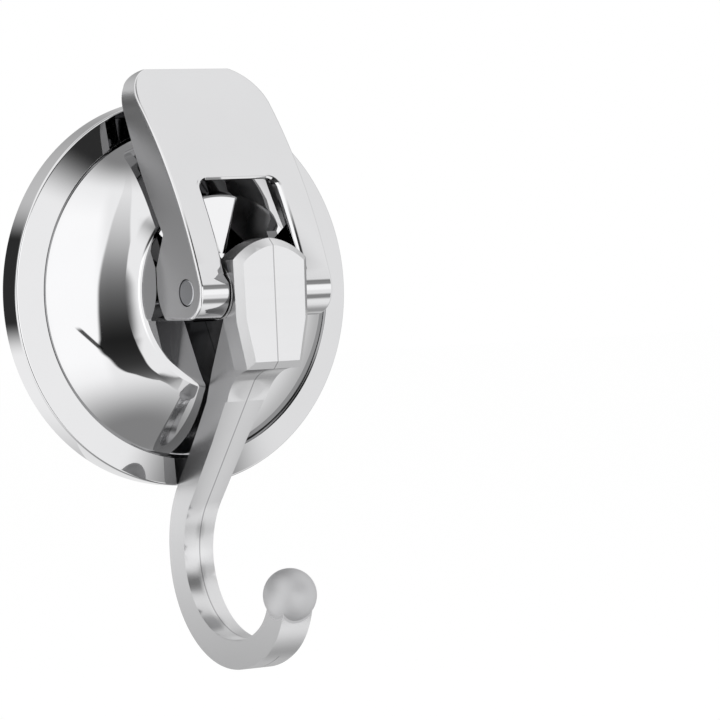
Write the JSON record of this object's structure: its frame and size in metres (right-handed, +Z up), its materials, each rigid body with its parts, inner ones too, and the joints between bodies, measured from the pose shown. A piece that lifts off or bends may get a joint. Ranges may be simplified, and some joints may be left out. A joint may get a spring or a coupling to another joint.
{
  "type": "suction cup hook",
  "caption": "Chrome lever-lock suction cup hook: domed housing over a soft pad, a windowed cam lever and a ball-tipped J hook on one pin.",
  "frame": {"origin": "centre of the suction pad's flat land, on the wall's face", "axes": "+Y into the wall, +Z up along the wall, +X to the right as seen from the room; the room is on the -Y side"},
  "size_m": [0.065, 0.038, 0.0996],
  "materials": {
    "housing_chrome": "mirror chrome plating on moulded plastic",
    "soft_vinyl": "soft clear vinyl, smooth",
    "stud_steel": "plain turned steel",
    "pin_steel": "plain drawn steel, ends faced",
    "lever_chrome": "bright chrome plating on a zinc casting",
    "hook_chrome": "chrome plating on a zinc casting, a little satin on the ball"
  },
  "bodies": {
    "housing": {"dome_housing": "housing_chrome", "suction_pad": "soft_vinyl"},
    "stud": {"pull_stud": "stud_steel", "pivot_pin": "pin_steel"},
    "lever": {"lever": "lever_chrome"},
    "hook": {"hook": "hook_chrome"}
  },
  "joints": [
    {"name": "stud_draw", "type": "slide", "parent": "housing", "child": "stud", "axis": [0, 1, 0], "range_m": [0, 0.0025], "deforming": ["suction_pad"]},
    {"name": "lever_flip", "type": "hinge", "parent": "stud", "child": "lever", "pos_m": [0, -0.0265, 0], "axis": [1, 0, 0], "range_deg": [0, 100]},
    {"name": "hook_tilt", "type": "hinge", "parent": "stud", "child": "hook", "pos_m": [0, -0.0265, 0], "axis": [1, 0, 0], "range_deg": [-7, 0]}
  ],
  "couplings": [
    {"joint": "lever_flip", "follows": "stud_draw", "rad_per_m": 698.13},
    {"joint": "hook_tilt", "follows": "stud_draw", "rad_per_m": -48.86}
  ]
}
